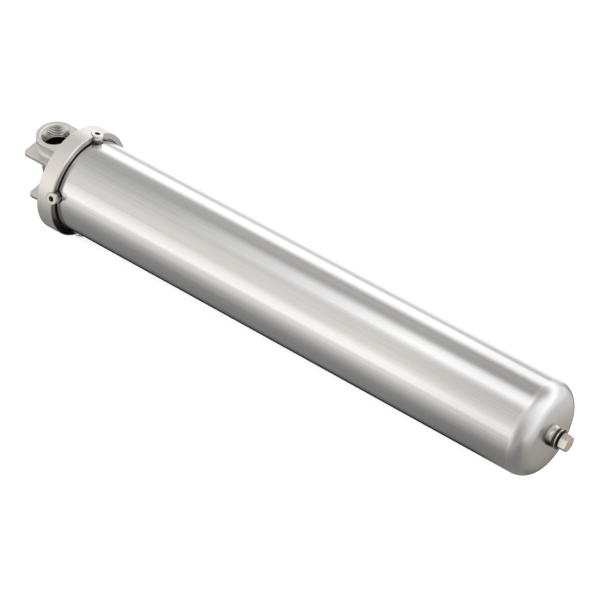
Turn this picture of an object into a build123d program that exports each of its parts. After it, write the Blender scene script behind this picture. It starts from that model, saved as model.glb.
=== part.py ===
from build123d import *
from math import cos, pi, radians, sqrt, tan
import os

# A stainless steel cartridge filter housing, lying on its side. Every size is in
# millimetres or degrees. While it is modelled, the x axis is the bowl's axis, the
# z axis runs through both ports, and the two cross at zero.

# Ports
port_reach = 49.0            # from the bowl's axis to the face of a port
port_bore_r = 15.15          # tapping radius of a one-inch pipe thread
port_thread_length = 17.5
port_mouth_chamfer = 1.3
port_chamber_r = 16.0        # cast passage behind the thread
rim_r = 21.0
rim_thick = 4.5
rim_edge = 0.6

# Column and plates of the head
column_r = 18.0
rim_fillet = 2.6
column_fillet = 4.0
plate_inner_z = 27.0         # from the bowl's axis to a plate's inner face
plate_thick = 5.0
plate_half_width = 28.0
plate_end = 23.5             # how far the plates reach behind the port axis
plate_corner_r = 5.0
plate_edge = 0.8

# Cap disc of the head
disc_back_x = 19.5           # from the port axis to the back of the disc
disc_thick = 10.2
shoulder_height = 4.2        # from the tube's outside to the crest of the disc's thread
disc_chamfer = 1.5
sealing_face_width = 9.0     # between the recess and the crest
recess_depth = 3.2
seat_boss_r = 17.0
seat_boss_height = 8.5       # from the floor of the recess

# Passages in the head
partition = 3.0              # wall between the inlet chamber and the outlet passage
seat_bore_r = 10.0
window_half_width = 12.0
window_corner_r = 3.0
window_clearance = 1.5       # from the seat boss and from the port's thread

# Top seat and its gasket
nipple_r = 12.5
nipple_length = 7.0
seat_gasket_thick = 1.5
seat_gasket_width = 3.5
seat_flange_r = 27.0
seat_flange_thick = 3.0
knife_edge_r = 22.0
knife_edge_height = 1.5
knife_edge_angle = 60.0
spigot_r = 13.5
spigot_length = 12.0
spigot_lead = 1.5

# Cartridge: the length between the two knife edges with no cartridge in place
cartridge_space = 498.0

# Collar on the bowl's mouth
seal_squeeze_gap = 0.3       # between the collar and the head's sealing face
collar_clearance = 0.4       # between the collar and the ring's thread
collar_thick = 5.0
neck_step = 6.8              # the collar's bore is this much inside the tube's
collar_neck_length = 18.0
collar_taper = 5.0
groove_inset = 2.3           # from the tube's outside to the middle of the groove
groove_width = 4.0
groove_depth = 2.8
bowl_seal_section = 3.4
bowl_seal_flat_count = 8     # the round section is kept light with flats

# Bowl
tube_r = 50.8
tube_wall = 2.0
knuckle_r = 19.5
crown_r = 400.0

# Lock ring
thread_clearance = 0.05      # between the crests that screw past each other
ring_wall = 4.45             # outside its thread
ring_length = 20.0
ring_lip_thick = 6.0
ring_lip_clearance = 2.0     # round the bowl's neck
ring_chamfer = 1.0
notch_r = 6.9

# Lock screws
screw_count = 4
screw_first_angle = -20.8    # from +z towards -y
screw_head_r = 6.5
screw_head_height = 8.0
screw_head_chamfer = 0.6
screw_shoulder_r = 5.2
screw_shoulder_height = 2.5   # lifts the head clear of the bowl's neck
screw_shank_r = 4.0
screw_shank_length = 6.0
screw_socket_across = 6.0
screw_socket_depth = 4.0
screw_hole_spare = 0.5
spot_face_drop = 1.2         # under the neck's surface
spot_face_clearance = 1.1

# Drain
drain_boss_across = 21.0
drain_boss_hex_reach = 1.6   # hexagon beyond the crown's highest point
drain_boss_root = 3.0        # hexagon below it, inside the weld
drain_boss_angle = 8.0
drain_face_r = 10.5
drain_face_thick = 2.0
drain_thread_r = 6.5
drain_seal_thick = 3.0
drain_seal_r = 9.8
drain_flange_r = 10.5
drain_flange_thick = 1.4
drain_neck_r = 5.5
drain_neck_length = 1.9
drain_shank_length = 12.0
drain_head_across = 15.6
drain_head_length = 8.7
drain_head_angle = -3.0
drain_head_face_r = 7.3      # flat left at each end of its chamfered corners
drain_head_chamfer_angle = 25.0

# Spring, its guide and the bottom seat
guide_ring_outer_r = 20.0
guide_ring_inner_r = 13.0
guide_ring_thick = 3.0
guide_ring_gap = 4.0         # from the crown's inside to the guide's ring
guide_leg_width = 6.0
guide_leg_thick = 4.0
guide_leg_count = 3
guide_weld = 1.0             # how far webs and legs run into what they join
guide_tube_wall = 2.0
guide_tube_length = 34.0
stem_r = 6.0
stem_clearance = 0.06
stem_engaged = 12.0
bottom_flange_thick = 3.0
spring_wire_r = 1.5
spring_mean_r = 16.0
spring_length = 83.9         # relaxed, with no cartridge in place
spring_turns = 6.0
spring_flat_count = 8        # the round wire is kept light with flats

# Vent
vent_inset = 8.0             # from the recess's edge to the vent's axis
vent_thread_r = 4.8
vent_shank_length = 6.5
vent_seal_thick = 1.2
vent_seal_r = 6.0
vent_head_r = 6.4
vent_head_thick = 3.2
vent_socket_across = 5.0
vent_socket_depth = 3.5
vent_head_chamfer = 0.5

# How near an edge has to be to count as the one looked for
same_place = 0.01

# Sizes across the bowl that follow from the tube
tube_bore_r = tube_r - tube_wall
collar_bore_r = tube_bore_r - neck_step
groove_mean_r = tube_r - groove_inset
disc_r = tube_r + shoulder_height
recess_r = disc_r - sealing_face_width
vent_y = recess_r - vent_inset
ring_thread_r = disc_r + thread_clearance
ring_r = ring_thread_r + ring_wall
collar_r = ring_thread_r - collar_clearance
screw_seat_r = tube_r - spot_face_drop

# Places along the bowl's axis, worked out from the sizes above
disc_face_x = disc_back_x + disc_thick
recess_floor_x = disc_face_x - recess_depth
seat_boss_x = recess_floor_x + seat_boss_height
seat_flange_x = seat_boss_x + seat_gasket_thick
top_edge_x = seat_flange_x + seat_flange_thick + knife_edge_height
collar_mouth_x = disc_face_x + seal_squeeze_gap
shoulder_x = collar_mouth_x + collar_thick
ring_front_x = shoulder_x + ring_lip_thick
ring_back_x = ring_front_x - ring_length
neck_end_x = shoulder_x + collar_neck_length
bottom_edge_x = top_edge_x + cartridge_space
bottom_flange_x = bottom_edge_x + knife_edge_height
spring_top_x = bottom_flange_x + bottom_flange_thick
guide_top_x = spring_top_x + spring_length
crown_x = guide_top_x + guide_ring_thick + guide_ring_gap + tube_wall
crown_centre_x = crown_x - crown_r
knuckle_x = crown_centre_x + sqrt((crown_r - knuckle_r) ** 2 - (tube_r - knuckle_r) ** 2)
drain_face_x = crown_x + drain_boss_hex_reach + drain_face_thick
drain_flange_x = drain_face_x + drain_seal_thick


def across(x):
    """A plane square to the bowl's axis: its own x runs along +y, and it faces +x."""
    return Plane(origin=(x, 0, 0), x_dir=(0, 1, 0), z_dir=(1, 0, 0))


def turned(*corners):
    """A solid turned about the bowl's axis from corners given as (x, radius)."""
    return revolve(make_face(Polyline(*corners, close=True)), axis=Axis.X)


def disc_between(x_low, x_high, radius, inner_radius=0):
    """A plain turned disc or washer."""
    return turned((x_low, inner_radius), (x_low, radius), (x_high, radius), (x_high, inner_radius))


def hex_socket(x_mouth, x_floor, size_across):
    """A hexagonal hole for a key, with the drill point's flat left out."""
    hexagon = RegularPolygon(size_across / 2, 6, major_radius=False)
    return extrude(across(x_mouth) * hexagon, amount=x_floor - x_mouth)


def keyhole(radius, x_end):
    """A round end about the port axis with straight sides that run to x_end."""
    return Circle(radius) + Pos(x_end / 2, 0) * Rectangle(x_end, 2 * radius)


def slab(sketch, z_low, z_high):
    """A sketch seen along the port axis, made solid between two heights."""
    return extrude(Pos(0, 0, z_low) * sketch, amount=z_high - z_low)


def column_edges(body, z):
    """The edges at height z that follow the column's keyhole outline."""
    level = body.edges().filter_by_position(Axis.Z, z - same_place, z + same_place)
    arcs = level.filter_by(GeomType.CIRCLE)
    lines = level.filter_by(GeomType.LINE)
    arcs = arcs.filter_by(lambda e: abs(e.radius - column_r) < same_place)
    return arcs + lines.filter_by(lambda e: abs(abs(e.center().Y) - column_r) < same_place)


def free_edges(edges):
    """Those edges that don't lie where the head meets its cap disc."""
    return edges.filter_by(lambda e: e.center().X < disc_back_x - same_place)


def head_blank():
    """The head as it comes from the mould, before any passage is cut."""
    plate_length = plate_end + disc_back_x
    plate_sketch = Pos(plate_length / 2 - plate_end, 0) * Rectangle(plate_length, 2 * plate_half_width)
    rim_z = port_reach - rim_thick
    body = slab(keyhole(column_r, disc_back_x), -rim_z, rim_z)
    for side in (-1, 1):
        plate = slab(plate_sketch, side * plate_inner_z, side * (plate_inner_z + plate_thick))
        corners = plate.edges().filter_by(Axis.Z).group_by(Axis.X)[0]
        plate = fillet(corners, plate_corner_r)
        plate = fillet(free_edges(plate.edges().filter_by(Plane.XY)), plate_edge)
        rim = slab(keyhole(rim_r, disc_back_x), side * rim_z, side * port_reach)
        rim_face = rim.faces().sort_by(Axis.Z)[-1 if side > 0 else 0]
        rim = chamfer(free_edges(rim_face.edges()), rim_edge)
        body += [plate, rim]
    for side in (-1, 1):
        body = fillet(column_edges(body, side * rim_z), rim_fillet)
        for z in (plate_inner_z, plate_inner_z + plate_thick):
            body = fillet(column_edges(body, side * z), column_fillet)
    cap = turned(
        (disc_back_x, 0),
        (disc_back_x, disc_r - disc_chamfer),
        (disc_back_x + disc_chamfer, disc_r),
        (disc_face_x - disc_chamfer / 2, disc_r),
        (disc_face_x, disc_r - disc_chamfer / 2),
        (disc_face_x, recess_r),
        (recess_floor_x, recess_r),
        (recess_floor_x, seat_boss_r),
        (seat_boss_x, seat_boss_r),
        (seat_boss_x, 0),
    )
    return body + cap


def port_bore(side):
    """The threaded mouth of one port, on the side that it opens to."""
    mouth_r = port_bore_r + port_mouth_chamfer
    outline = Polyline(
        (0, side * port_reach),
        (mouth_r, side * port_reach),
        (port_bore_r, side * (port_reach - port_mouth_chamfer)),
        (port_bore_r, side * (port_reach - port_thread_length)),
        (0, side * (port_reach - port_thread_length)),
        close=True,
    )
    return revolve(make_face(Plane.XZ * outline), axis=Axis.Z)


def head_casting():
    """The head with its ports, its two passages and the threaded hole for the vent."""
    thread_end = port_reach - port_thread_length
    inlet_floor = seat_bore_r + partition
    inlet_chamber = slab(Circle(port_chamber_r), inlet_floor, thread_end)
    outlet_chamber = slab(Circle(port_chamber_r), -thread_end, seat_bore_r)
    window_low = seat_boss_r + window_clearance
    window_high = thread_end - window_clearance
    window = RectangleRounded(2 * window_half_width, window_high - window_low, window_corner_r)
    window = Pos(0, (window_low + window_high) / 2) * window
    to_bowl = extrude(across(0) * window, amount=disc_face_x)
    from_cartridge = disc_between(0, seat_boss_x, seat_bore_r)
    seat_thread = disc_between(seat_boss_x - nipple_length, seat_boss_x, nipple_r)
    vent_hole = Pos(0, vent_y, 0) * disc_between(disc_back_x, disc_face_x, vent_thread_r + thread_clearance)
    cuts = [port_bore(1), port_bore(-1), inlet_chamber, outlet_chamber]
    cuts += [to_bowl, from_cartridge, seat_thread, vent_hole]
    return head_blank() - cuts


def knife_edge(x_base, direction):
    """A sharp ring that bites into the cartridge's gasket, pointing along direction."""
    half_base = knife_edge_height * tan(radians(knife_edge_angle / 2))
    return turned(
        (x_base, knife_edge_r - half_base),
        (x_base + direction * knife_edge_height, knife_edge_r),
        (x_base, knife_edge_r + half_base),
    )


def seat_spigot(x_base, direction, bore_r):
    """The flange's spigot, which enters the cartridge's bore."""
    tip = x_base + direction * spigot_length
    return turned(
        (x_base, bore_r),
        (x_base, spigot_r),
        (tip - direction * spigot_lead, spigot_r),
        (tip, spigot_r - spigot_lead),
        (tip, bore_r),
    )


def top_seat():
    """The hollow seat that is screwed in the head's boss."""
    flange = disc_between(seat_flange_x, seat_flange_x + seat_flange_thick, seat_flange_r, seat_bore_r)
    nipple = disc_between(seat_boss_x - nipple_length, seat_flange_x, nipple_r, seat_bore_r)
    edge_base = seat_flange_x + seat_flange_thick
    return flange + nipple + knife_edge(edge_base, 1) + seat_spigot(edge_base, 1, seat_bore_r)


def top_seat_seal():
    """The flat gasket between the head's boss and the top seat's flange."""
    return disc_between(seat_boss_x, seat_flange_x, nipple_r + seat_gasket_width, nipple_r)


def bowl_seal():
    """The O-ring in the collar's groove."""
    section_r = bowl_seal_section / 2
    groove_floor = collar_mouth_x + groove_depth
    turn = 180 / bowl_seal_flat_count
    section = RegularPolygon(section_r, bowl_seal_flat_count, major_radius=False, rotation=turn)
    section = Pos(groove_floor - section_r, groove_mean_r) * section
    pressed_flat = Pos(disc_face_x - section_r, groove_mean_r) * Rectangle(2 * section_r, 2 * section_r)
    return revolve(section - pressed_flat, axis=Axis.X)


def lock_ring():
    """The union nut: a threaded bore, a lip behind the collar and four notches."""
    lip_r = tube_r + ring_lip_clearance
    ring = turned(
        (ring_back_x, ring_thread_r + ring_chamfer),
        (ring_back_x, ring_r - ring_chamfer),
        (ring_back_x + ring_chamfer, ring_r),
        (ring_front_x - ring_chamfer, ring_r),
        (ring_front_x, ring_r - ring_chamfer),
        (ring_front_x, lip_r),
        (shoulder_x, lip_r),
        (shoulder_x, ring_thread_r),
        (ring_back_x + ring_chamfer, ring_thread_r),
    )
    notch = upright(Circle(notch_r), lip_r / 2, ring_r + notch_r)
    return ring - [Rot(angle, 0, 0) * notch for angle in screw_angles()]


def screw_angles():
    """Where the lock screws stand round the bowl."""
    return [screw_first_angle + 360 / screw_count * n for n in range(screw_count)]


def upright(sketch, z_low, z_high):
    """A sketch made solid along a lock screw's axis, before it is turned into place."""
    return extrude(Pos(ring_front_x, 0, z_low) * sketch, amount=z_high - z_low)


def lock_screw(angle):
    """A short socket-head screw whose shoulder stands on the bowl's neck."""
    underside = screw_seat_r + screw_shoulder_height
    top = underside + screw_head_height
    head = upright(Circle(screw_head_r), underside, top)
    head = chamfer(head.edges().group_by(Axis.Z)[-1], screw_head_chamfer)
    shoulder = upright(Circle(screw_shoulder_r), screw_seat_r, underside)
    shank = upright(Circle(screw_shank_r), screw_seat_r - screw_shank_length, screw_seat_r)
    hexagon = RegularPolygon(screw_socket_across / 2, 6, major_radius=False)
    socket = upright(hexagon, top - screw_socket_depth, top)
    return Rot(angle, 0, 0) * (head + shoulder + shank - socket)


def bowl_collar():
    """The turned collar and neck that close the bowl's mouth against the head."""
    body = turned(
        (collar_mouth_x, collar_bore_r),
        (collar_mouth_x, groove_mean_r - groove_width / 2),
        (collar_mouth_x + groove_depth, groove_mean_r - groove_width / 2),
        (collar_mouth_x + groove_depth, groove_mean_r + groove_width / 2),
        (collar_mouth_x, groove_mean_r + groove_width / 2),
        (collar_mouth_x, collar_r),
        (shoulder_x, collar_r),
        (shoulder_x, tube_r),
        (neck_end_x, tube_r),
        (neck_end_x, tube_bore_r),
        (neck_end_x - collar_taper, collar_bore_r),
    )
    hole_end = screw_seat_r - screw_shank_length - screw_hole_spare
    spot_face = upright(Circle(screw_head_r + spot_face_clearance), screw_seat_r, ring_r)
    hole = upright(Circle(screw_shank_r + thread_clearance), hole_end, screw_seat_r)
    return body - [Rot(angle, 0, 0) * (spot_face + hole) for angle in screw_angles()]


def bowl_tube():
    """The straight wall of the bowl."""
    return disc_between(neck_end_x, knuckle_x, tube_r, tube_bore_r)


def dome_shell(inset):
    """Everything inside the dished end's surface, taken inset below it."""
    corner_r = knuckle_r - inset
    crown = crown_r - inset
    centre_r = tube_r - knuckle_r
    between_centres = crown_r - knuckle_r
    lean_cos = (knuckle_x - crown_centre_x) / between_centres
    lean_sin = centre_r / between_centres
    meet = (knuckle_x + corner_r * lean_cos, centre_r + corner_r * lean_sin)
    outline = RadiusArc((knuckle_x, tube_r - inset), meet, corner_r)
    outline += RadiusArc(meet, (crown_x - inset, 0), crown)
    outline += Polyline((crown_x - inset, 0), (knuckle_x, 0), (knuckle_x, tube_r - inset))
    return revolve(make_face(outline), axis=Axis.X)


def drain_hexagon():
    """The boss's hexagon, from below the crown to its shoulder."""
    hexagon = RegularPolygon(drain_boss_across / 2, 6, major_radius=False, rotation=drain_boss_angle)
    return extrude(across(crown_x - drain_boss_root) * hexagon, amount=drain_boss_root + drain_boss_hex_reach)


def bowl_dome():
    """The dished end, with the hole that the drain boss is welded over."""
    shell = dome_shell(0) - dome_shell(tube_wall)
    return shell - drain_hexagon()


def drain_boss():
    """The hexagonal boss with a round face for the seal and a threaded hole through it."""
    hexagon = drain_hexagon()
    face = disc_between(crown_x + drain_boss_hex_reach, drain_face_x, drain_face_r)
    bore = disc_between(crown_x - drain_boss_root, drain_face_x, drain_thread_r + thread_clearance)
    return hexagon + face - bore


def drain_seal():
    """The thick rubber ring under the drain plug."""
    return disc_between(drain_face_x, drain_flange_x, drain_seal_r, drain_thread_r + thread_clearance)


def drain_plug():
    """The drain plug: shank, flange, neck and a hexagonal head with a turned end."""
    neck_x = drain_flange_x + drain_flange_thick
    head_x = neck_x + drain_neck_length
    end_x = head_x + drain_head_length
    corner_r = drain_head_across / 2 / cos(pi / 6)
    bevel = (corner_r - drain_head_face_r) * tan(radians(drain_head_chamfer_angle))
    hexagon = RegularPolygon(drain_head_across / 2, 6, major_radius=False, rotation=drain_head_angle)
    head = extrude(across(head_x) * hexagon, amount=drain_head_length)
    envelope = turned(
        (head_x, 0),
        (head_x, drain_head_face_r),
        (head_x + bevel, corner_r),
        (end_x - bevel, corner_r),
        (end_x, drain_head_face_r),
        (end_x, 0),
    )
    shank = disc_between(drain_flange_x - drain_shank_length, drain_flange_x, drain_thread_r)
    flange = disc_between(drain_flange_x, neck_x, drain_flange_r)
    neck = disc_between(neck_x, head_x, drain_neck_r)
    return shank + flange + neck + (head & envelope)


def spring_guide():
    """The ring that the spring stands on, its legs and the tube for the seat's stem."""
    ring_low_x = guide_top_x + guide_ring_thick
    tube_inner_r = stem_r + stem_clearance
    tube_outer_r = tube_inner_r + guide_tube_wall
    tube_top_x = ring_low_x - guide_tube_length
    body = disc_between(guide_top_x, ring_low_x, guide_ring_outer_r, guide_ring_inner_r)
    body += disc_between(tube_top_x, ring_low_x, tube_outer_r, tube_inner_r)
    web_low_r = tube_outer_r - guide_weld
    web_high_r = guide_ring_inner_r + guide_weld
    web_sketch = Pos(0, (web_low_r + web_high_r) / 2) * Rectangle(guide_leg_thick, web_high_r - web_low_r)
    web = extrude(across(guide_top_x) * web_sketch, amount=guide_ring_thick)
    leg_r = (guide_ring_inner_r + guide_ring_outer_r) / 2
    leg_sketch = Pos(0, leg_r) * Rectangle(guide_leg_width, guide_leg_thick)
    leg = extrude(across(guide_top_x) * leg_sketch, amount=guide_ring_thick + 2 * guide_ring_gap)
    for n in range(guide_leg_count):
        turn = Rot(360 / guide_leg_count * n, 0, 0)
        body += [turn * web, turn * leg]
    return body & (disc_between(0, knuckle_x, tube_bore_r) + dome_shell(tube_wall))


def cartridge_spring():
    """The open coil spring between the guide's ring and the bottom seat."""
    height = guide_top_x - spring_top_x - 2 * spring_wire_r
    path = Helix(height / spring_turns, height, spring_mean_r)
    wire = RegularPolygon(spring_wire_r, spring_flat_count)
    coil = sweep(Plane(origin=path @ 0, z_dir=path % 0) * wire, path=path)
    return Pos(spring_top_x + spring_wire_r, 0, 0) * Rot(0, 90, 0) * coil


def bottom_seat():
    """The sprung seat, with its knife edge, spigot and guided stem."""
    flange = disc_between(bottom_flange_x, spring_top_x, seat_flange_r)
    tube_top_x = guide_top_x + guide_ring_thick - guide_tube_length
    stem = disc_between(spring_top_x, tube_top_x + stem_engaged, stem_r)
    return flange + stem + knife_edge(bottom_flange_x, -1) + seat_spigot(bottom_flange_x, -1, 0)


def vent_seal():
    """The seal under the vent plug's head."""
    hole_r = vent_thread_r + thread_clearance
    return Pos(0, vent_y, 0) * disc_between(disc_back_x - vent_seal_thick, disc_back_x, vent_seal_r, hole_r)


def vent_plug():
    """The plug that lets air out of the bowl, with a socket for a key."""
    head_low_x = disc_back_x - vent_seal_thick - vent_head_thick
    head = disc_between(head_low_x, disc_back_x - vent_seal_thick, vent_head_r)
    head = chamfer(head.edges().group_by(Axis.X)[0], vent_head_chamfer)
    shank_end_x = disc_back_x + vent_shank_length
    shank = disc_between(disc_back_x - vent_seal_thick, shank_end_x, vent_thread_r)
    socket = hex_socket(head_low_x, head_low_x + vent_socket_depth, vent_socket_across)
    return Pos(0, vent_y, 0) * (head + shank - socket)


def pieces():
    """Every piece of the housing by its name."""
    made = {
        "head_casting": head_casting(),
        "top_seat": top_seat(),
        "top_seat_seal": top_seat_seal(),
        "bowl_seal": bowl_seal(),
        "lock_ring": lock_ring(),
        "bowl_collar": bowl_collar(),
        "bowl_tube": bowl_tube(),
        "bowl_dome": bowl_dome(),
        "drain_boss": drain_boss(),
        "drain_seal": drain_seal(),
        "drain_plug": drain_plug(),
        "spring_guide": spring_guide(),
        "cartridge_spring": cartridge_spring(),
        "bottom_seat": bottom_seat(),
        "vent_seal": vent_seal(),
        "vent_plug": vent_plug(),
    }
    for number, angle in enumerate(screw_angles(), start=1):
        made[f"lock_screw_{number}"] = lock_screw(angle)
    return made


# The part's own origin is the centre of the inlet port's face.
to_inlet_face = Pos(0, 0, -port_reach)
os.makedirs("parts", exist_ok=True)
for name, piece in pieces().items():
    export_step(to_inlet_face * piece, f"parts/{name}.step")
    print(name, round(piece.volume))
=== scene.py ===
# %% [markdown]
# # A stainless steel filter housing, dressed in Blender
# The CAD frame brings every solid of the housing in metres, with the centre of the inlet port's face at
# zero, the bowl along +X and both ports along Z. This lesson gives those solids their finishes, turns the
# few shapes that need a finer surface than the CAD facets, and sets up the camera, the floor and the light.

# %% Load the frame
from math import atan2, cos, pi, radians, sin
import bmesh
import bpy
from mathutils import Matrix, Vector


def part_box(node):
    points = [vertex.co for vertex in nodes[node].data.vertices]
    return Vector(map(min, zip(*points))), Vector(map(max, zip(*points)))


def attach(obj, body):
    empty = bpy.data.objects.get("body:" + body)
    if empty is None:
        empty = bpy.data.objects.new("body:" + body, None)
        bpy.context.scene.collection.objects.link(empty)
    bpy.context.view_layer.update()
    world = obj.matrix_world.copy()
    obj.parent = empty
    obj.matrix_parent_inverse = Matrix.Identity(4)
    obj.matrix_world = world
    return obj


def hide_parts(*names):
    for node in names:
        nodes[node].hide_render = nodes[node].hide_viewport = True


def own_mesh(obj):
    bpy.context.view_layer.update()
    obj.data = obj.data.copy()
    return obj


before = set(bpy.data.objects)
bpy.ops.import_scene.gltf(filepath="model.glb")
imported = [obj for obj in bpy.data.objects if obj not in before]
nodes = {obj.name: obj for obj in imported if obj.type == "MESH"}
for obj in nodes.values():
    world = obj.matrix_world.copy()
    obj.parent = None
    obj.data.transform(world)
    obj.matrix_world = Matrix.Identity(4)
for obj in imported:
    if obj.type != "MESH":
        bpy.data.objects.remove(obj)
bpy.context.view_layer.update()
print("solids in the frame:", len(nodes))

# %% [markdown]
# ## Camera
# The housing lies on a table and is seen from above its dished end through a long lens. A camera could be
# aimed by hand, or by a constraint that follows a target. Its place and turn were instead found by fitting
# circles of the real sizes to the photograph, and a matrix also holds the slight roll that came out of that.

# %% Camera
camera_place = Vector((1.657, -1.570, 2.029))
camera_azimuth, camera_elevation, camera_roll = radians(40.304), radians(45.294), radians(-2.645)
level_right = Vector((cos(camera_azimuth), sin(camera_azimuth), 0))
towards_camera = Vector((sin(camera_azimuth) * cos(camera_elevation),
                         -cos(camera_azimuth) * cos(camera_elevation), sin(camera_elevation)))
level_up = towards_camera.cross(level_right)
right = level_right * cos(camera_roll) + level_up * sin(camera_roll)
up = level_up * cos(camera_roll) - level_right * sin(camera_roll)
lens = bpy.data.cameras.new("camera")
lens.lens = 174
lens.sensor_width = 36
lens.clip_end = 20
camera = bpy.data.objects.new("camera", lens)
turn = Matrix((right, up, towards_camera)).transposed().to_4x4()
camera.matrix_world = Matrix.Translation(camera_place) @ turn
bpy.context.scene.collection.objects.link(camera)
bpy.context.scene.camera = camera
print("camera distance to the port:", round(camera_place.length, 3), "m")

# %% [markdown]
# ## Shader sums in Python
# A finish is a sum of a few textures. Its nodes could be added and linked one at a time, which is long and
# hides the pattern. Here a small class wraps a node's output, each operator on it adds one Math node, and
# every other node comes from one method that takes its type, its settings and its inputs. So a pattern
# reads as a formula.

# %% Wire, the socket wrapper
class Wire:
    """An output socket that takes part in Python sums."""

    def __init__(self, tree, socket=None):
        self.tree = tree
        self.socket = socket

    def node(self, kind, settings=None, inputs=None, out=0):
        """Adds a node: its settings first, then the values or links of its sockets."""
        made = self.tree.nodes.new(kind)
        for name, value in (settings or {}).items():
            if name == "stops":
                set_stops(made.color_ramp, value)
            else:
                setattr(made, name, value)
        for name, value in (inputs or {}).items():
            if isinstance(value, Wire):
                self.tree.links.new(value.socket, made.inputs[name])
            else:
                made.inputs[name].default_value = value
        return Wire(self.tree, made.outputs[out] if len(made.outputs) else None)

    def beside(self, name):
        """Another output of the node that this wire comes from."""
        return Wire(self.tree, self.socket.node.outputs[name])

    def math(self, operation, *values):
        """Adds a Math node with the given operation on one or more values."""
        return self.node("ShaderNodeMath", {"operation": operation}, dict(enumerate(values)))

    def __add__(self, other):
        return self.math("ADD", self, other)

    def __radd__(self, other):
        return self.math("ADD", other, self)

    def __sub__(self, other):
        return self.math("SUBTRACT", self, other)

    def __rsub__(self, other):
        return self.math("SUBTRACT", other, self)

    def __mul__(self, other):
        return self.math("MULTIPLY", self, other)

    def __rmul__(self, other):
        return self.math("MULTIPLY", other, self)

    def __truediv__(self, other):
        return self.math("DIVIDE", self, other)

    def __rtruediv__(self, other):
        return self.math("DIVIDE", other, self)


# %% [markdown]
# A ramp turns a number into a colour through a few stops. Full colours could be written for each stop, but
# greys with a slight tint are all that steel needs, so a stop is a brightness and a warmth. A warmth of 1 is
# the faint yellow of lamplight, and below zero it turns blue.

# %% Ramps
warm_red, warm_blue = 0.03, 0.05


def set_stops(ramp, stops):
    """Gives a ramp its stops, as (position, brightness) or (position, brightness, warmth)."""
    while len(ramp.elements) < len(stops):
        ramp.elements.new(1)
    for element, (position, tone, *warmth) in zip(ramp.elements, stops):
        warm = warmth[0] if warmth else 0
        element.position = position
        element.color = (tone * (1 + warm_red * warm), tone, tone * (1 - warm_blue * warm), 1)


def ramp(value, stops):
    """The colour that a number picks from a ramp with these stops."""
    return value.node("ShaderNodeValToRGB", {"stops": stops}, {"Fac": value})


# %% [markdown]
# Four parts come back in nearly every pattern: a soft step, noise, a mix of two colours, and the three
# coordinates of a point. The noise is stretched along the direction of the work by making that axis's
# factor small. Coordinates are in metres on every piece, so a grain has its true size.

# %% Parts of a pattern
black = (0, 0, 0, 1)


def ramp_between(value, low, high):
    """0 below low and 1 above high, with a soft S between."""
    settings = {"interpolation_type": "SMOOTHSTEP"}
    return value.node("ShaderNodeMapRange", settings, {"Value": value, "From Min": low, "From Max": high})


def noise(place, scale, detail=2.0, stretch=(1, 1, 1), shift=(0, 0, 0)):
    """Cloudy noise from 0 to 1, stretched along the axes whose factor is small."""
    moved = place.node("ShaderNodeMapping", inputs={"Vector": place, "Scale": stretch, "Location": shift})
    inputs = {"Vector": moved, "Scale": scale, "Detail": detail}
    return place.node("ShaderNodeTexNoise", {"normalize": True}, inputs)


def mixed(factor, first, second):
    """A colour between two colours."""
    settings = {"data_type": "RGBA"}
    return factor.node("ShaderNodeMix", settings, {0: factor, 6: first, 7: second}, out=2)


def split(place):
    """The X, Y and Z of a point, each as a wire of its own."""
    x = place.node("ShaderNodeSeparateXYZ", inputs={"Vector": place}, out="X")
    return x, x.beside("Y"), x.beside("Z")


# %% [markdown]
# Blender puts a few ready-made nodes in each new material, world and lamp. They could be looked up by name
# and kept, but building from nothing shows every node that matters, so each tree is emptied first.

# %% Empty node trees
def emptied(owner):
    """Clears the nodes of a material, world or lamp and gives a wire to start from."""
    owner.use_nodes = True
    owner.node_tree.nodes.clear()
    return Wire(owner.node_tree)


def new_material(name):
    """An empty material and its object coordinates, in metres."""
    material = bpy.data.materials.new(name)
    return material, emptied(material).node("ShaderNodeTexCoord", out="Object")


# %% [markdown]
# ## Floor
# The floor is the plane that the lock ring rests on. A large sheet would do, or a curved backdrop as in a
# studio, but the camera looks down steeply and never sees a horizon, so one flat square is enough.

# %% Floor plane
mm = 0.001
axis_z = -49 * mm
floor_z = -108.5 * mm
floor_gap = 0.1 * mm
floor_x, floor_half = 0.3, 6
floor_mesh = bpy.data.meshes.new("floor")
shape = bmesh.new()
floor_middle = Matrix.Translation((floor_x, 0, floor_z - floor_gap))
bmesh.ops.create_grid(shape, x_segments=1, y_segments=1, size=floor_half, matrix=floor_middle)
shape.to_mesh(floor_mesh)
shape.free()
floor = bpy.data.objects.new("floor", floor_mesh)
bpy.context.scene.collection.objects.link(floor)
print("floor at", floor_z, "m")

# %% [markdown]
# Polished steel mirrors the floor, and there it needs a real table's shading: dim in the housing's own
# shadow on the near side, brighter further out, and brightest behind it. More lamps could give that, but
# they would also change how the housing is lit. So the mirrored table gets its brightness from a curve over
# the distance from the tube's middle. Each stop is a place in metres, a brightness and a warmth.

# %% Table beside the tube
brightest = 1.3
near_side = [(-1.0, 0.96, 0.8), (-0.80, 0.94, 0.8), (-0.54, 0.88, 1.0), (-0.33, 0.75, 1.1),
             (-0.24, 0.62, 1.1), (-0.19, 0.53, 1.1), (-0.155, 0.44, 0.9), (-0.114, 0.33, 0.5),
             (-0.088, 0.29), (-0.058, 0.26), (-0.043, 0.14), (-0.038, 0.0)]
far_side = [(0.05, 0.0), (0.09, 0.45), (0.115, 1.0), (0.14, 1.2), (0.30, 1.25), (0.42, 1.05),
            (0.60, 0.85), (1.0, 0.75)]


def tone_curve(value, curve):
    """A grey that follows a curve of (place, brightness, warmth) from its first place to its last."""
    low, high = curve[0][0], curve[-1][0]
    stops = [((at - low) / (high - low), tone / brightest, *warmth) for at, tone, *warmth in curve]
    return ramp((value - low) / (high - low), stops)


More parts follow.
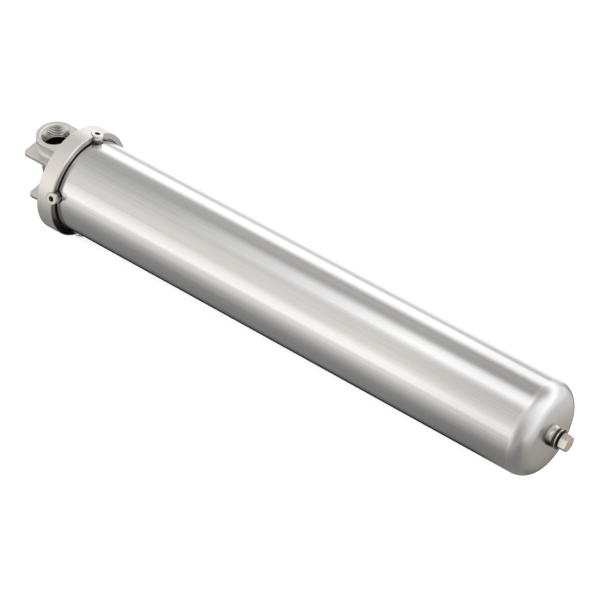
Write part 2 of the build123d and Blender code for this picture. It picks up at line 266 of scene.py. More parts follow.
# %% [markdown]
# The dished end mirrors the table in front of it, and the camera sees that stretch at a slant. So a second
# curve follows the sum of the distances along the bowl and across it, counted from the bowl's end. The part
# right under the end is darker still, and the two curves blend into each other a little before the end.

# %% Table past the dished end
end_x = 0.64
end_shade = [(-0.40, 0.50, 0.6), (-0.285, 0.44, 0.6), (-0.185, 0.36, 0.6), (-0.11, 0.28, 0.8),
             (-0.06, 0.29, 1.0), (-0.02, 0.37, 1.6), (0.03, 0.44, 2.0), (0.08, 0.47, 2.0),
             (0.10, 0.53, 2.0), (0.12, 0.64, 1.6), (0.14, 0.80, 1.0), (0.20, 0.76, 0.6), (0.28, 0.79),
             (0.37, 1.06), (0.50, 1.06)]
under_low_x, under_high_x, under_dark = 0.625, 0.66, 0.5
shade_near, shade_far = -0.055, -0.02
blend_low_x, blend_high_x = 0.55, 0.61


def floor_tone(place):
    """How bright the table is where polished steel mirrors it."""
    along, across, _ = split(place)
    from_end = across + (along - end_x)
    below_bowl = 1 - ramp_between(along, under_low_x, under_high_x)
    under_end = below_bowl * ramp_between(from_end, shade_near, shade_far)
    past_end = mixed(under_dark * under_end, tone_curve(from_end, end_shade), black)
    beside_tube = tone_curve(across, near_side + far_side)
    return mixed(ramp_between(along, blend_low_x, blend_high_x), beside_tube, past_end)


# %% [markdown]
# The camera sees the table white, with the housing's soft shadow left in: a plain pale paint with a glow
# added for the camera alone. Light Path tells the camera's rays from the steel's, so each gets its own table
# without a second floor.

# %% Table's material
paint, white = (0.8, 0.8, 0.8, 1), (1, 1, 1, 1)
camera_glow = 0.75
floor_material, place = new_material("table_white")
camera_ray = place.node("ShaderNodeLightPath", out="Is Camera Ray")
painted = place.node("ShaderNodeBsdfDiffuse", inputs={"Color": paint})
glow = place.node("ShaderNodeEmission", inputs={"Color": white, "Strength": camera_glow})
seen = place.node("ShaderNodeAddShader", inputs={0: painted, 1: glow})
mirrored = place.node("ShaderNodeEmission", inputs={"Color": floor_tone(place), "Strength": brightest})
by_camera = place.node("ShaderNodeMixShader", inputs={0: camera_ray, 1: painted, 2: seen})
steel_ray = camera_ray.beside("Is Glossy Ray")
by_steel = place.node("ShaderNodeMixShader", inputs={0: steel_ray, 1: by_camera, 2: mirrored})
place.node("ShaderNodeOutputMaterial", inputs={"Surface": by_steel})
floor_mesh.materials.append(floor_material)
print("table material nodes:", len(floor_material.node_tree.nodes))

# %% [markdown]
# ## Room
# The photograph was taken in a white room with long soft lights parallel to the tube, and each shows in the
# polished steel as one straight band. The room could be built of walls and lamps. A world whose brightness
# is a curve over the angle round the X axis gives the same bands with nothing to place, and each stop can
# be read from one band. At 0 the steel looks to the far horizon, at 0.5 straight up, and at 1 to the near
# horizon.

# %% Bands of light along the tube
world = bpy.data.worlds.new("room")
bpy.context.scene.world = world
sight = emptied(world).node("ShaderNodeTexCoord", out="Generated")
sight_x, sight_y, sight_z = split(sight)
round_axis = sight.math("ARCTAN2", 0 - sight_y, sight_z) / pi + 0.5
room_bands = [(0.0, 0.45), (0.02, 0.51), (0.05, 0.78), (0.15, 0.78), (0.185, 0.50, 0.6), (0.215, 0.32, 1.0),
              (0.25, 0.27, 1.0), (0.36, 0.27, 0.7), (0.44, 0.30), (0.50, 0.32), (0.59, 0.39, 0.7),
              (0.66, 0.42, 1.0), (0.78, 0.45, 1.05), (0.85, 0.56, 0.75), (0.91, 0.66, 0.5),
              (0.95, 0.70, 0.4), (0.98, 0.61, 0.5), (1.0, 0.52, 0.6)]
bands = ramp(round_axis, room_bands)
print("stops round the tube:", len(room_bands))

# %% [markdown]
# The dished end looks past the tube's lights, at the end wall of the room. Its light runs from dim on the
# near side to bright on the far side, so a second ramp follows Y and takes over where a line of sight leaves
# along X. The camera itself sees plain white instead of this room.

# %% Light past the dished end
end_bands = [(0.0, 0.22, 0.8), (0.10, 0.27, 0.8), (0.30, 0.46, 0.2), (0.50, 0.60, -0.3), (0.68, 0.74, -0.3),
             (0.83, 0.78, -0.2), (1.0, 0.77)]
end_slant, end_first, end_whole = 0.4, -0.05, 0.65
room_strength = 2.0
end_light = ramp(sight_y * 0.5 + 0.5, end_bands)
to_end = ramp_between(sight_x - end_slant * sight_y, end_first, end_whole)
room_light = mixed(to_end, bands, end_light)
room = sight.node("ShaderNodeBackground", inputs={"Color": room_light, "Strength": room_strength})
backdrop = sight.node("ShaderNodeBackground", inputs={"Color": white, "Strength": 1.0})
camera_ray = sight.node("ShaderNodeLightPath", out="Is Camera Ray")
plain = camera_ray.math("MAXIMUM", camera_ray, camera_ray.beside("Is Transmission Ray"))
shown = sight.node("ShaderNodeMixShader", inputs={0: plain, 1: room, 2: backdrop})
sight.node("ShaderNodeOutputWorld", inputs={"Surface": shown})
bpy.context.scene.view_settings.view_transform = "Standard"
print("world nodes:", len(world.node_tree.nodes))

# %% [markdown]
# ## Lamp
# One band in the tube is brighter than the room and fades towards the head. A world can't fade along the
# tube, because it is endlessly far away, so this light is a real soft lamp above the bowl. Its own nodes
# dim it towards the head and round off its long edges.

# %% Lamp over the bowl
lamp_long, lamp_wide, lamp_strength = 1.10, 0.96, 0.92
lamp_place = (0.13, 0.0, 1.05)
towards_head = [(0.0, 0.10), (0.42, 0.92), (0.62, 1.0)]
across_lamp = [(0.06, 0.0), (0.38, 1.0), (0.62, 1.0), (0.94, 0.0)]
softbox = bpy.data.lights.new("softbox", "AREA")
softbox.shape = "RECTANGLE"
softbox.size, softbox.size_y = lamp_long, lamp_wide
softbox.energy = lamp_strength * pi * lamp_long * lamp_wide
over = emptied(softbox).node("ShaderNodeNewGeometry", out="Parametric")
over_x, over_y, _ = split(over)
strength = ramp(over_x, towards_head) * ramp(over_y, across_lamp)
glowing = over.node("ShaderNodeEmission", inputs={"Color": white, "Strength": strength})
over.node("ShaderNodeOutputLight", inputs={"Surface": glowing})
lamp = bpy.data.objects.new("softbox", softbox)
lamp.location = lamp_place
bpy.context.scene.collection.objects.link(lamp)
print("softbox power", round(softbox.energy, 2), "W")

# %% [markdown]
# ## Finishes
# Every piece but the seals is stainless steel, so the finishes differ in how the surface was worked: blasted
# after casting, turned on a lathe, polished lengthwise, pressed, or bright as a bought screw. All of them
# start from object coordinates and end in one metal shader with the pattern's height as bump. One helper
# holds that end, so that each finish below is only its pattern.

# %% End of a finish
def finish_surface(material, place, colour, roughness, height, depth, metallic=1.0):
    """Joins a pattern to one shader, with its height as a bump of the given depth."""
    bump = place.node("ShaderNodeBump", inputs={"Height": height, "Strength": 1.0, "Distance": depth})
    surface = place.node("ShaderNodeBsdfPrincipled", inputs={
        "Base Color": colour, "Metallic": metallic, "Roughness": roughness, "Normal": bump})
    place.node("ShaderNodeOutputMaterial", inputs={"Surface": surface})
    print("material:", material.name, "nodes:", len(material.node_tree.nodes))
    return material


# %% [markdown]
# Two more helpers serve the patterns that run round something: coordinates centred on a line along X, and
# the distance from an axis through zero. An empty object could hold the centre instead, but a material that
# names another object loses it when the piece is exported.

# %% Coordinates round an axis
across_x, across_z = (0, 1, 1), (1, 1, 0)


def centred(place, y=0, z=axis_z):
    """Coordinates whose X axis is a line along the bowl, by default the bowl's own axis."""
    return place.node("ShaderNodeMapping", inputs={"Vector": place, "Location": (0, -y, -z)})


def from_axis(place, across):
    """Distance from an axis through zero. Across holds a 0 for that axis and a 1 for the others."""
    flat = place.node("ShaderNodeVectorMath", {"operation": "MULTIPLY"}, {0: place, 1: across})
    return flat.node("ShaderNodeVectorMath", {"operation": "LENGTH"}, {0: flat}, out="Value")


# %% [markdown]
# The tube is drawn and then polished lengthwise on a belt. The belt's lines could be a stretched picture.
# Noise that is very long along X gives the same lines at any size: fine and broad ones, a few clear
# streaks, and long shallow waves in the bump, which make the mirrored bands waver as they do on real tube.
# Close to the dished end the steel is painted a little darker: painted shade where the room's light fades.

# %% Polished tube
def polished_tube():
    """Lengthwise polishing lines, fine across the tube and very long along it."""
    material, place = new_material("polished_steel")
    fine = noise(place, scale=1400, detail=3, stretch=(0.004, 1, 1))
    broad = noise(place, scale=90, detail=2, stretch=(0.02, 1, 1), shift=(3, 0, 0))
    cloud = noise(place, scale=9, detail=3, shift=(0, 5, 0))
    marks = noise(place, scale=300, detail=3, stretch=(0.006, 1, 1), shift=(0, 0, 9))
    streak_low, streak_high = 0.3, 0.7
    streaks = ramp_between(marks, streak_low, streak_high)
    waves = noise(place, scale=34, detail=1, stretch=(0.12, 1, 1), shift=(0, 2, 0))
    roughness = 0.10 + 0.05 * fine + 0.03 * broad + 0.02 * cloud + 0.02 * streaks
    dark, light = (0.61, 0.61, 0.61, 1), (0.78, 0.78, 0.78, 1)
    polished = mixed(0.4 * fine + 0.3 * broad + 0.3 * streaks, dark, light)
    along = split(place)[0]
    # Painted shade: the colour darkens towards the dished end, where the room's light fades.
    dimmed_from, dimmed_to, painted_dimming = 0.46, 0.60, 0.13
    colour = mixed(painted_dimming * ramp_between(along, dimmed_from, dimmed_to), polished, black)
    height = fine + 0.5 * broad + 6 * waves
    return finish_surface(material, place, colour, roughness, height, depth=0.004 * mm)


tube_steel = polished_tube()

# %% [markdown]
# The dished end is pressed from sheet and finished with a soft wheel while it turns. That leaves rings, so
# the noise reads the distance from the axis instead of X, Y and Z, with a share of X that keeps the rings
# apart on the knuckle. The weld of the drain boss has tinted the middle the colour of straw, which a mix by
# the same distance gives.

# %% Pressed end
def pressed_end():
    """Rings of a soft wheel round the axis, over the faint waves that the press leaves."""
    material, place = new_material("pressed_steel")
    radius = from_axis(centred(place), across_x)
    along_share = 0.3
    ringed = place.node("ShaderNodeCombineXYZ", inputs={"X": radius, "Y": along_share * split(place)[0]})
    fine = noise(ringed, scale=2600, detail=2)
    waves = noise(place, scale=45, detail=2)
    roughness = 0.21 + 0.04 * fine + 0.05 * waves
    dark, light, straw = (0.63, 0.63, 0.63, 1), (0.69, 0.69, 0.69, 1), (0.66, 0.60, 0.53, 1)
    pressed = mixed(0.4 * fine + 0.6 * waves, dark, light)
    tint_inner, tint_outer, tint_waver, tint_share = 12 * mm, 19 * mm, 4 * mm, 0.75
    near_weld = 1 - ramp_between(radius + tint_waver * waves, tint_inner, tint_outer)
    colour = mixed(tint_share * near_weld, pressed, straw)
    return finish_surface(material, place, colour, roughness, 0.25 * fine + waves, depth=0.01 * mm)


dome_steel = pressed_end()

# %% [markdown]
# The lock ring, the collar, the seats and the plug's flange are turned on a lathe, whose tool leaves fine
# grooves round the X axis. One function makes them all: noise that is long round the axis and short along
# it. The pieces differ in how dark the steel is and how rough the cut was, so those are its arguments.

# %% Turned steel
def turned_surface(name, dark, light, least_roughness, groove_depth):
    """Fine grooves of a lathe tool round the X axis."""
    material, place = new_material(name)
    grooves = noise(place, scale=3200, detail=2, stretch=(1, 0.004, 0.004))
    rub = noise(place, scale=160, detail=3, shift=(1, 2, 3))
    roughness = least_roughness + 0.10 * grooves + 0.06 * rub
    colour = mixed(0.55 * grooves + 0.45 * rub, dark, light)
    return finish_surface(material, place, colour, roughness, grooves + 0.3 * rub, depth=groove_depth)


ring_steel = turned_surface("turned_steel", dark=(0.72, 0.70, 0.68, 1), light=(0.83, 0.81, 0.785, 1),
                            least_roughness=0.36, groove_depth=0.02 * mm)
bright_steel = turned_surface("turned_bright_steel", dark=(0.62, 0.60, 0.58, 1), light=(0.74, 0.72, 0.70, 1),
                              least_roughness=0.07, groove_depth=0.006 * mm)
plug_steel = turned_surface("plug_steel", dark=(0.61, 0.565, 0.515, 1), light=(0.74, 0.70, 0.65, 1),
                            least_roughness=0.20, groove_depth=0.02 * mm)
# Painted shade: the lip's steel is much darker, for the dark gap that it mirrors.
lip_painted_shade = turned_surface("painted_shade_lip_steel", dark=(0.38, 0.355, 0.335, 1), light=(0.50, 0.475, 0.45, 1),
                           least_roughness=0.24, groove_depth=0.02 * mm)

# %% [markdown]
# The drain boss is a piece of hexagon bar, tinted by the weld's heat. Its lower side is painted black: a
# painted reflection of the dark dished end and table below it. That side could be a second material, but a
# soft mask by direction has no hard edge, and some noise in it keeps the edge uneven.

# %% Welded boss
def boss_surface():
    """Bar steel, straw-coloured by the weld's heat, with a painted dark reflection on its lower side."""
    material, place = new_material("boss_steel")
    boss_r, slant = 11 * mm, 0.7
    _, across, height = split(centred(place))
    low_side = (0 - slant * across - slant * height) / boss_r
    rub = noise(place, scale=500, detail=3)
    dark, light, painted_dark_reflection = (0.64, 0.59, 0.53, 1), (0.80, 0.75, 0.69, 1), (0.03, 0.027, 0.024, 1)
    dark_from, dark_whole, uneven = 0.35, 0.75, 0.2
    bar = mixed(rub, dark, light)
    # Painted reflection: the lower side is painted nearly black where it faces the dark surroundings below.
    colour = mixed(ramp_between(low_side + uneven * rub, dark_from, dark_whole), bar, painted_dark_reflection)
    return finish_surface(material, place, colour, 0.16 + 0.12 * rub, rub, depth=0.01 * mm)


boss_steel = boss_surface()

# %% [markdown]
# The head is cast and blasted, which leaves a dull grain with shallow pits. The passages behind the port
# threads are painted nearly black, as painted shade deep inside the head. They lie within a short cylinder
# round the port axis, so two comparisons pick them out and no face has to be marked.

# %% Cast and blasted steel
def cast_surface():
    """The grain of a blasted casting, with painted shade on the passages behind the threads."""
    material, place = new_material("cast_steel")
    grain = noise(place, scale=1500, detail=3)
    pits = noise(place, scale=420, detail=2, shift=(2, 0, 0))
    cloud = noise(place, scale=60, detail=2, shift=(0, 0, 7))
    dark, light, painted_passage_shade = (0.68, 0.66, 0.63, 1), (0.80, 0.78, 0.75, 1), (0.07, 0.062, 0.055, 1)
    blasted = mixed(0.5 * pits + 0.5 * cloud, dark, light)
    passage_r, passage_half = 16.6 * mm, 31.8 * mm
    from_port = from_axis(place, across_z)
    height = split(place)[2] - axis_z
    middle_part = height.math("LESS_THAN", height.math("ABSOLUTE", height), passage_half)
    within = from_port.math("LESS_THAN", from_port, passage_r) * middle_part
    # Painted shade: inside the passage cylinder the colour is nearly black.
    colour = mixed(within, blasted, painted_passage_shade)
    roughness = 0.40 + 0.12 * grain + 0.08 * cloud
    return finish_surface(material, place, colour, roughness, 0.6 * grain + pits, depth=0.06 * mm)


head_steel = cast_surface()

# %% [markdown]
# The lock screws and the vent plug are bought parts, bright from tumbling. A flat colour would look like
# plastic, so two sizes of noise stand for the handling marks. The hexagon sockets are painted black, as
# painted shade in their depth.

# %% Bright screws and their sockets
def screw_surface():
    """A bought screw: bright, with a few handling marks."""
    material, place = new_material("screw_steel")
    marks = noise(place, scale=900, detail=2)
    cloud = noise(place, scale=260, detail=2, shift=(4, 0, 0))
    roughness = 0.27 + 0.10 * marks + 0.05 * cloud
    dark, light = (0.71, 0.68, 0.65, 1), (0.82, 0.79, 0.76, 1)
    colour = mixed(0.5 * marks + 0.5 * cloud, dark, light)
    return finish_surface(material, place, colour, roughness, marks, depth=0.008 * mm)


def socket_surface():
    """The hexagon socket of a screw, painted black as painted shade in its depth."""
    material, place = new_material("painted_shade_socket")
    flakes = noise(place, scale=1500, detail=2)
    dark, light = (0.02, 0.018, 0.016, 1), (0.05, 0.045, 0.04, 1)
    # Painted shade: the socket's colour is nearly black.
    colour = mixed(flakes, dark, light)
    return finish_surface(material, place, colour, 0.42 + 0.2 * flakes, flakes, depth=0.02 * mm, metallic=0.6)


screw_steel = screw_surface()
socket_painted_shade = socket_surface()

# %% [markdown]
# Outer threads show only when a piece is unscrewed. They could be real ridges, as in the ports below, but
# the CAD solids have plain cylinders there, which ridges would cross. So the thread is bump: a zigzag
# whose phase grows along X and drops by one for each turn, which makes it right-handed.

# %% Screw threads
def threaded_surface(name, pitch, y=0):
    """A right-hand thread as bump: its phase follows X and the angle round a line along X."""
    material, place = new_material(name)
    along, across, height = split(centred(place, y))
    angle = along.math("ARCTAN2", height, across)
    phase = along / pitch - angle / (2 * pi)
    ridge = phase.math("PINGPONG", phase, 0.5) * 2
    wear = noise(place, scale=700, detail=2)
    # Painted shade: the grooves are painted darker than the crests.
    painted_groove_shade, crest = (0.42, 0.41, 0.395, 1), (0.74, 0.72, 0.70, 1)
    colour = mixed(ridge, painted_groove_shade, crest)
    return finish_surface(material, place, colour, 0.18 + 0.12 * wear, ridge, depth=0.5 * pitch)


vent_y = 38 * mm
bowl_thread = threaded_surface("bowl_thread", pitch=2 * mm)
drain_thread = threaded_surface("drain_thread", pitch=1.337 * mm)
vent_thread = threaded_surface("vent_thread", pitch=0.907 * mm, y=vent_y)
seat_thread = threaded_surface("seat_thread", pitch=1.5 * mm)

# %% [markdown]
# The spring is drawn wire, darker than the other steel. The seals are the only pieces that aren't metal:
# moulded rubber, nearly black. One even black would look like a hole in the picture, so a dusty bloom makes
# the rubber paler and rougher in clouds.

# %% Spring wire and rubber
def spring_surface():
    """Drawn wire, with the marks of the die as a fine grain."""
    material, place = new_material("spring_steel")
    marks = noise(place, scale=1300, detail=3)
    dark, light = (0.40, 0.40, 0.39, 1), (0.52, 0.52, 0.51, 1)
    colour = mixed(marks, dark, light)
    return finish_surface(material, place, colour, 0.24 + 0.12 * marks, marks, depth=0.008 * mm)


def rubber_surface():
    """Moulded black rubber with a dusty bloom."""
    material, place = new_material("seal_rubber")
    grain = noise(place, scale=2200, detail=2)
    bloom = noise(place, scale=180, detail=3, shift=(0, 6, 0))
    clean, dusty = (0.016, 0.017, 0.018, 1), (0.038, 0.039, 0.04, 1)
    colour = mixed(bloom, clean, dusty)
    return finish_surface(material, place, colour, 0.46 + 0.16 * bloom, grain, depth=0.03 * mm, metallic=0.0)


spring_steel = spring_surface()
seal_rubber = rubber_surface()

# %% [markdown]
# ## Turned pieces
# The tube and the dished end are mirrors in the photograph, so their facets must not show. The CAD solids
# could be used, but they have fewer facets, which is right for a solid and breaks the straight bands of
# light. So both are spun again: one line turned round the bowl's axis in 288 steps, and then given a wall.

# %% Helpers for new pieces
fine_steps, seam_gap = 288, 1e-7


def new_piece(name, shape, material, body, sharp=30):
    """Closes a bmesh into an object that rides on a body. Edges of more than sharp degrees stay sharp."""
    mesh = bpy.data.meshes.new(name)
    shape.to_mesh(mesh)
    shape.free()
    mesh.shade_smooth()
    mesh.set_sharp_from_angle(angle=radians(sharp))
    mesh.materials.append(material)
    piece = bpy.data.objects.new(name, mesh)
    bpy.context.scene.collection.objects.link(piece)
    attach(piece, body)
    print("piece:", name, "faces:", len(mesh.polygons))
    return piece


def spin_round_bowl(shape, wall):
    """Turns everything in the bmesh once round the bowl's axis, closes the seam and adds a wall inwards."""
    bmesh.ops.spin(shape, geom=shape.verts[:] + shape.edges[:], cent=(0, 0, 0), axis=(1, 0, 0),
                   dvec=(0, 0, 0), angle=2 * pi, steps=fine_steps, use_merge=True)
    bmesh.ops.remove_doubles(shape, verts=shape.verts[:], dist=seam_gap)
    bmesh.ops.recalc_face_normals(shape, faces=shape.faces[:])
    bmesh.ops.translate(shape, verts=shape.verts[:], vec=(0, 0, axis_z))
    bmesh.ops.solidify(shape, geom=shape.faces[:], thickness=wall)


# %% [markdown]
# The bowl's tube is a length of pipe, polished outside. A ready-made cylinder would do as well. A single line
# spun round the axis is used instead, because the dished end is spun in the same steps, so the two skins
# meet facet to facet. The line's ends come from the CAD solid that the tube stands for.

# %% Bowl tube
tube_r, tube_wall = 50.8 * mm, 2.0 * mm
tube_low, tube_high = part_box("bowl_tube")[0][0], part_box("bowl_tube")[1][0]
shape = bmesh.new()
tube_ends = [shape.verts.new((x, 0, tube_r)) for x in (tube_low, tube_high)]
shape.edges.new(tube_ends)
spin_round_bowl(shape, tube_wall)
tube = new_piece("bowl_tube_skin", shape, tube_steel, "bowl")
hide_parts("bowl_tube")

# %% [markdown]
# The dished end has a tight knuckle and a shallow crown. Spinning a single vertex about the knuckle's centre,
# and then about the crown's centre, draws the two arcs of its outline with no list of points. The crown's
# arc stops inside the hexagonal drain boss, which hides its edge.

# %% Dished end
knuckle_r, crown_r, crown_height, boss_hole = 19.5 * mm, 400 * mm, 20.79 * mm, 9 * mm
knuckle_steps, crown_steps = 40, 24
crown_centre = Vector((tube_high + crown_height - crown_r, 0, 0))
knuckle_centre = Vector((tube_high, 0, tube_r - knuckle_r))
meeting_angle = atan2(knuckle_centre.z, knuckle_centre.x - crown_centre.x)
shape = bmesh.new()
rim = shape.verts.new((tube_high, 0, tube_r))
made = bmesh.ops.spin(shape, geom=[rim], cent=knuckle_centre, axis=(0, 1, 0), dvec=(0, 0, 0),
                      angle=pi / 2 - meeting_angle, steps=knuckle_steps)
meeting = [v for v in made["geom_last"] if isinstance(v, bmesh.types.BMVert)]
bmesh.ops.spin(shape, geom=meeting, cent=crown_centre, axis=(0, 1, 0), dvec=(0, 0, 0),
               angle=meeting_angle - boss_hole / crown_r, steps=crown_steps)
spin_round_bowl(shape, tube_wall)
dome = new_piece("bowl_dome_skin", shape, dome_steel, "bowl")
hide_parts("bowl_dome")

# %% [markdown]
# ## Pieces that keep their CAD shape
# The other solids already have the right shape. Each gets a merged copy, because the frame's meshes are loose
# triangles, and a copy whose corners are joined can be shaded smooth over its curves and sharp at its edges.
#
# Smooth shading bends the light over the long triangles beside a fillet, which shows as wedges on steel.
# More triangles would cure that and make every file heavy. Instead the corners get their normals set: a
# large flat keeps its own up to the fillet, and a cylinder takes its radius.

# %% Flat shading of large flats
fillet_bend = radians(30)


def plane_of(face):
    """The plane that a face lies in, rounded so that neighbours in one plane share it."""
    return tuple(round(v, 2) for v in (*face.normal, face.normal.dot(face.center) / mm))


def true_flat(piece, least_area):
    """Shades every large flat as truly flat, up to and including its edge with a fillet."""
    mesh = piece.data
    areas = {}
    for face in mesh.polygons:
        areas[plane_of(face)] = areas.get(plane_of(face), 0) + face.area
    large = [face for face in mesh.polygons if areas[plane_of(face)] > least_area]
    flats = {}
    for face in large:
        for vertex in face.vertices:
            flats.setdefault(vertex, []).append(face.normal.copy())
    normals = [Vector(corner.vector) for corner in mesh.corner_normals]
    for loop in mesh.loops:
        for flat in flats.get(loop.vertex_index, []):
            if normals[loop.index].angle(flat) < fillet_bend:
                normals[loop.index] = flat
    for face in large:
        for corner in face.loop_indices:
            normals[corner] = face.normal.copy()
    mesh.normals_split_custom_set(normals)


# %% Round shading of cylinders
same_radius, outward, widest_facet = 0.01 * mm, 0.95, radians(50)


def true_round(piece, across=across_x, centre=(0, 0, axis_z)):
    """Shades every cylinder round an axis as truly round: its corners take the radius as their normal.

    A hexagon's faces are left flat, because their corners lie 60 degrees apart.
    """
    mesh = piece.data
    normals = [Vector(corner.vector) for corner in mesh.corner_normals]
    for face in mesh.polygons:
        arms = [(mesh.vertices[v].co - Vector(centre)) * Vector(across) for v in face.vertices]
        lengths = [arm.length for arm in arms]
        facing = face.normal.dot(sum(arms, Vector()).normalized())
        spread = max(arm.angle(arms[0], 0) for arm in arms)
        if max(lengths) - min(lengths) < same_radius and abs(facing) > outward and spread < widest_facet:
            for corner, arm in zip(face.loop_indices, arms):
                normals[corner] = arm.normalized() if facing > 0 else -arm.normalized()
    mesh.normals_split_custom_set(normals)


# %% [markdown]
# A piece often has more than one finish: a thread on its shank, or a black socket in its head. The faces
# could be picked by hand in the editor. A test of each face's middle does the same and still holds when the
# CAD changes, so a merged copy takes a list of materials with their tests. It also takes the least area that
# counts as a large flat, which is smaller on a screw than on the casting.

# %% Merged copies
loose_gap = 1e-6
casting_flat, boss_flat, screw_flat = 250 * mm * mm, 120 * mm * mm, 30 * mm * mm


def merged_copy(node, material, body, sharp=32, others=(), least_flat=casting_flat):
    """A joined copy of a CAD node that stands for it. Others are (material, test of a face's middle)."""
    shape = bmesh.new()
    shape.from_mesh(nodes[node].data)
    bmesh.ops.remove_doubles(shape, verts=shape.verts[:], dist=loose_gap)
    for face in shape.faces:
        middle = face.calc_center_median()
        for number, (_, test) in enumerate(others, start=1):
            if test(middle):
                face.material_index = number
    piece = new_piece(node + "_skin", shape, material, body, sharp)
    for other, _ in others:
        piece.data.materials.append(other)
    true_flat(piece, least_flat)
    true_round(piece)
    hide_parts(node)
    return piece


def from_bowl_axis(middle, y=0):
    """Distance from the bowl's axis, or from a line beside it."""
    return Vector((middle.y - y, middle.z - axis_z)).length


def from_port_axis(middle):
    """Distance from the line through both ports."""
    return Vector((middle.x, middle.y)).length


# %% [markdown]
# The head is one casting of cap disc, plates, column and ports. Its fillets run into each other and would be
# hard to model again, so the CAD shape is kept. Three finishes tell how it was worked: blasted all over,
# a thread cut round the cap disc, and bright walls where the ports were tapped. The ports and their rims are
# round about the Z axis through zero, so they get their round shading in a call of their own.

# %% Head casting
cap_low, cap_high, cap_r = 20.9 * mm, 29.5 * mm, 54.5 * mm
tapped_r, tapped_from = 15.3 * mm, 31.6 * mm
head = merged_copy("head_casting", head_steel, "head", sharp=24, others=[
    (bowl_thread, lambda middle: cap_low < middle.x < cap_high and from_bowl_axis(middle) > cap_r),
    (bright_steel, lambda middle: from_port_axis(middle) < tapped_r and abs(middle.z - axis_z) > tapped_from),
])
true_round(head, across_z, (0, 0, 0))

# %% [markdown]
# Two seats hold the cartridge. The top one is a turned spigot, screwed into the head over a rubber gasket, so
# its shank is threaded. The bottom one is plain and pushes back on its spring. Neither shows while the bowl
# is on, and bare CAD solids would do. They are dressed all the same, because the bowl can be taken off.

# %% Cartridge seats
nipple_high, nipple_r = 34.5 * mm, 12.3 * mm
merged_copy("top_seat", ring_steel, "head", others=[
    (seat_thread, lambda middle: middle.x < nipple_high and from_bowl_axis(middle) > nipple_r),
])
merged_copy("top_seat_seal", seal_rubber, "head")
merged_copy("bottom_seat", ring_steel, "bottom_seat")

# %% [markdown]
# At the bowl's mouth the lock ring pulls on a collar that is welded to the tube, and a rubber ring between
# the collar and the head makes the joint tight. Ring and collar could be spun again, but the ring's four
# notches are already cut in the CAD solid. The ring's lip beside the tube is painted darker: painted shade
# and a painted reflection of the dark gap there. The collar's outside beyond the shoulder was polished
# together with the tube and shares its material.

# %% Lock ring, collar and bowl seal
ring_thread_low, ring_thread_high, ring_thread_r = 22.2 * mm, 34.9 * mm, 55.2 * mm
lip_x, lip_bore_r = 40.9 * mm, 52.9 * mm
polished_from, polished_r = 35.1 * mm, 50.5 * mm
merged_copy("bowl_seal", seal_rubber, "bowl_seal", sharp=50)
merged_copy("lock_ring", ring_steel, "bowl", others=[
    (bowl_thread, lambda middle: ring_thread_low < middle.x < ring_thread_high
     and from_bowl_axis(middle) < ring_thread_r),
    (lip_painted_shade, lambda middle: middle.x > lip_x
     or middle.x > ring_thread_high and from_bowl_axis(middle) < lip_bore_r),
])
merged_copy("bowl_collar", ring_steel, "bowl", others=[
    (tube_steel, lambda middle: middle.x > polished_from and from_bowl_axis(middle) > polished_r),
])

# %% [markdown]
# The dished end carries a threaded hexagon boss outside and the spring's guide tube inside, both welded on.
# The boss's end face is smaller than the casting's flats, so the boss has a least area of its own. It is
# above the area of one side of the hexagon, which keeps the soft corners that the bar has.

# %% Drain boss and spring guide
boss_bore_r = 6.7 * mm
merged_copy("drain_boss", boss_steel, "bowl", others=[
    (drain_thread, lambda middle: from_bowl_axis(middle) < boss_bore_r),
], least_flat=boss_flat)
merged_copy("spring_guide", ring_steel, "bowl")

# %% [markdown]
# The drain plug closes the boss over a rubber ring. It is turned from one bar: a threaded shank, a flange, an
# undercut neck painted black as painted shade, and a hexagonal head. It could be four pieces, but their joins
# would show. The four stretches follow each other along X, so their limits are measured from the head's end
# and from the seal.

# %% Drain plug and its seal
plug_head_length, flange_thick, shank_r = 8.6 * mm, 1.3 * mm, 6.2 * mm
margin = 0.1 * mm
head_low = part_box("drain_plug")[1][0] - plug_head_length
flange_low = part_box("drain_seal")[1][0]
merged_copy("drain_seal", seal_rubber, "drain_seal")
merged_copy("drain_plug", bright_steel, "drain_plug", sharp=28, others=[
    (drain_thread, lambda middle: middle.x < flange_low - margin and from_bowl_axis(middle) > shank_r),
    # Painted shade: the undercut neck takes the black socket colour.
    (socket_painted_shade, lambda middle: flange_low + flange_thick < middle.x < head_low),
    (plug_steel, lambda middle: middle.x > head_low),
], least_flat=screw_flat)

# %% [markdown]
# The vent plug lets the air out while the housing fills. It is a small socket screw with a seal of its own,
# in the back of the cap disc, where the photograph doesn't look. It is dressed as the drain plug is, with a
# thread on its shank, and with the black socket that the lock screws have too.

# %% Vent plug and its seal
vent_shank_r, vent_socket_r, vent_socket_depth = 4.6 * mm, 3.2 * mm, 3.6 * mm
vent_head_low, vent_head_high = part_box("vent_plug")[0][0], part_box("vent_seal")[0][0]
merged_copy("vent_seal", seal_rubber, "vent_seal")
merged_copy("vent_plug", screw_steel, "vent_plug", others=[
    (vent_thread, lambda middle: middle.x > vent_head_high + margin
     and from_bowl_axis(middle, vent_y) > vent_shank_r),
    (socket_painted_shade, lambda middle: vent_head_low + margin < middle.x < vent_head_low + vent_socket_depth
     and from_bowl_axis(middle, vent_y) < vent_socket_r),
], least_flat=screw_flat)

# %% [markdown]
# Four short screws stand on the collar, one in each notch of the lock ring, and keep it from turning. They
# are the same screw at four angles, so a loop makes them. Each socket is found by its height over the
# bowl's axis and its distance from the screw's own line.

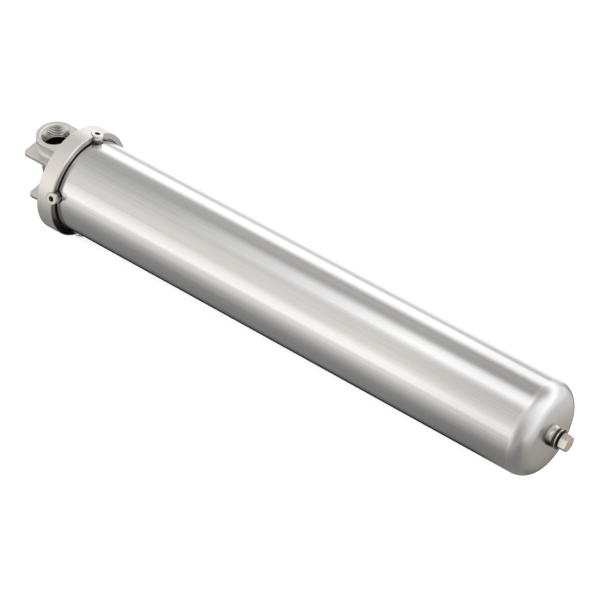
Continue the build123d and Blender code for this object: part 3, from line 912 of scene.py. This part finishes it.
# %% Lock screws
screw_x, first_lean, screw_count = 41 * mm, -20.8, 4
socket_floor, socket_rim, socket_r = 55.9 * mm, 60.0 * mm, 3.3 * mm
foot = Vector((screw_x, 0, axis_z))
for number in range(1, screw_count + 1):
    lean = radians(first_lean + 360 / screw_count * (number - 1))
    out = Vector((0, -sin(lean), cos(lean)))

    def in_socket(middle, out=out):
        """True on the walls and the floor of the screw's hexagon."""
        high = (middle - foot).dot(out)
        return socket_floor < high < socket_rim and (middle - foot - high * out).length < socket_r

    merged_copy(f"lock_screw_{number}", screw_steel, f"lock_screw_{number}", sharp=28,
                others=[(socket_painted_shade, in_socket)], least_flat=screw_flat)

# %% [markdown]
# ## Spring
# The CAD coil has an eight-sided wire, to stay light. A curve with a round bevel could stand for it. Here the
# wire is a circle spun six times round the axis while it moves along, which is how a coiling machine lays it
# and leaves a closed mesh.

# %% Spring
spring_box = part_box("cartridge_spring")
spring_length = spring_box[1][0] - spring_box[0][0]
wire_r, wire_sides, coil_r, coil_turns, steps_a_turn = 1.5 * mm, 16, 16 * mm, 6, 48
coil_steps = coil_turns * steps_a_turn
coil_rise = spring_length - 2 * wire_r
first_middle = Matrix.Translation((spring_box[0][0] + wire_r, 0, axis_z - coil_r))
shape = bmesh.new()
bmesh.ops.create_circle(shape, cap_ends=True, radius=wire_r, segments=wire_sides,
                        matrix=first_middle @ Matrix.Rotation(pi / 2, 4, "X"))
section = shape.verts[:] + shape.edges[:] + shape.faces[:]
bmesh.ops.spin(shape, geom=section, cent=(0, 0, axis_z), axis=(1, 0, 0), angle=2 * pi * coil_turns,
               dvec=(coil_rise / coil_steps, 0, 0), steps=coil_steps)
bmesh.ops.recalc_face_normals(shape, faces=shape.faces[:])
spring = new_piece("cartridge_spring_coil", shape, spring_steel, "bowl")
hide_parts("cartridge_spring")
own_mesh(spring)

# %% [markdown]
# ## Pipe threads in the ports
# A one-inch pipe thread has a pitch of 2.309 mm. The CAD bore is its plain tapping hole. Bump would do at a
# glance, but the photograph looks straight into the port, so the thread is a ridge that runs round the wall:
# a small triangle spun about the port's axis while it climbs.

# %% Port threads
port_r, thread_pitch, thread_depth = 15.15 * mm, 2.309 * mm, 0.55 * mm
ridge_half, ridge_sunk = 0.36 * thread_pitch, 0.05 * mm
ridge_steps, ridge_turns = 72, 6.6
outlet_z, first_ridge = -98 * mm, 1.9 * mm


def port_thread(name, start_z, climb):
    """A helical ridge on the wall of a port, from start_z into the head."""
    shape = bmesh.new()
    root_low = shape.verts.new((port_r + ridge_sunk, 0, start_z - ridge_half))
    root_high = shape.verts.new((port_r + ridge_sunk, 0, start_z + ridge_half))
    crest = shape.verts.new((port_r - thread_depth, 0, start_z))
    corners = [root_low, root_high, crest]
    sides = [shape.edges.new(pair) for pair in ((root_low, root_high), (root_high, crest), (crest, root_low))]
    bmesh.ops.spin(shape, geom=corners + sides, cent=(0, 0, 0), axis=(0, 0, 1),
                   dvec=(0, 0, climb * thread_pitch / ridge_steps), angle=2 * pi * ridge_turns,
                   steps=int(ridge_steps * ridge_turns))
    bmesh.ops.holes_fill(shape, edges=[e for e in shape.edges if e.is_boundary], sides=3)
    bmesh.ops.recalc_face_normals(shape, faces=shape.faces[:])
    return new_piece(name, shape, bright_steel, "head", sharp=20)


port_thread("inlet_thread", -first_ridge, -1)
port_thread("outlet_thread", outlet_z + first_ridge, 1)
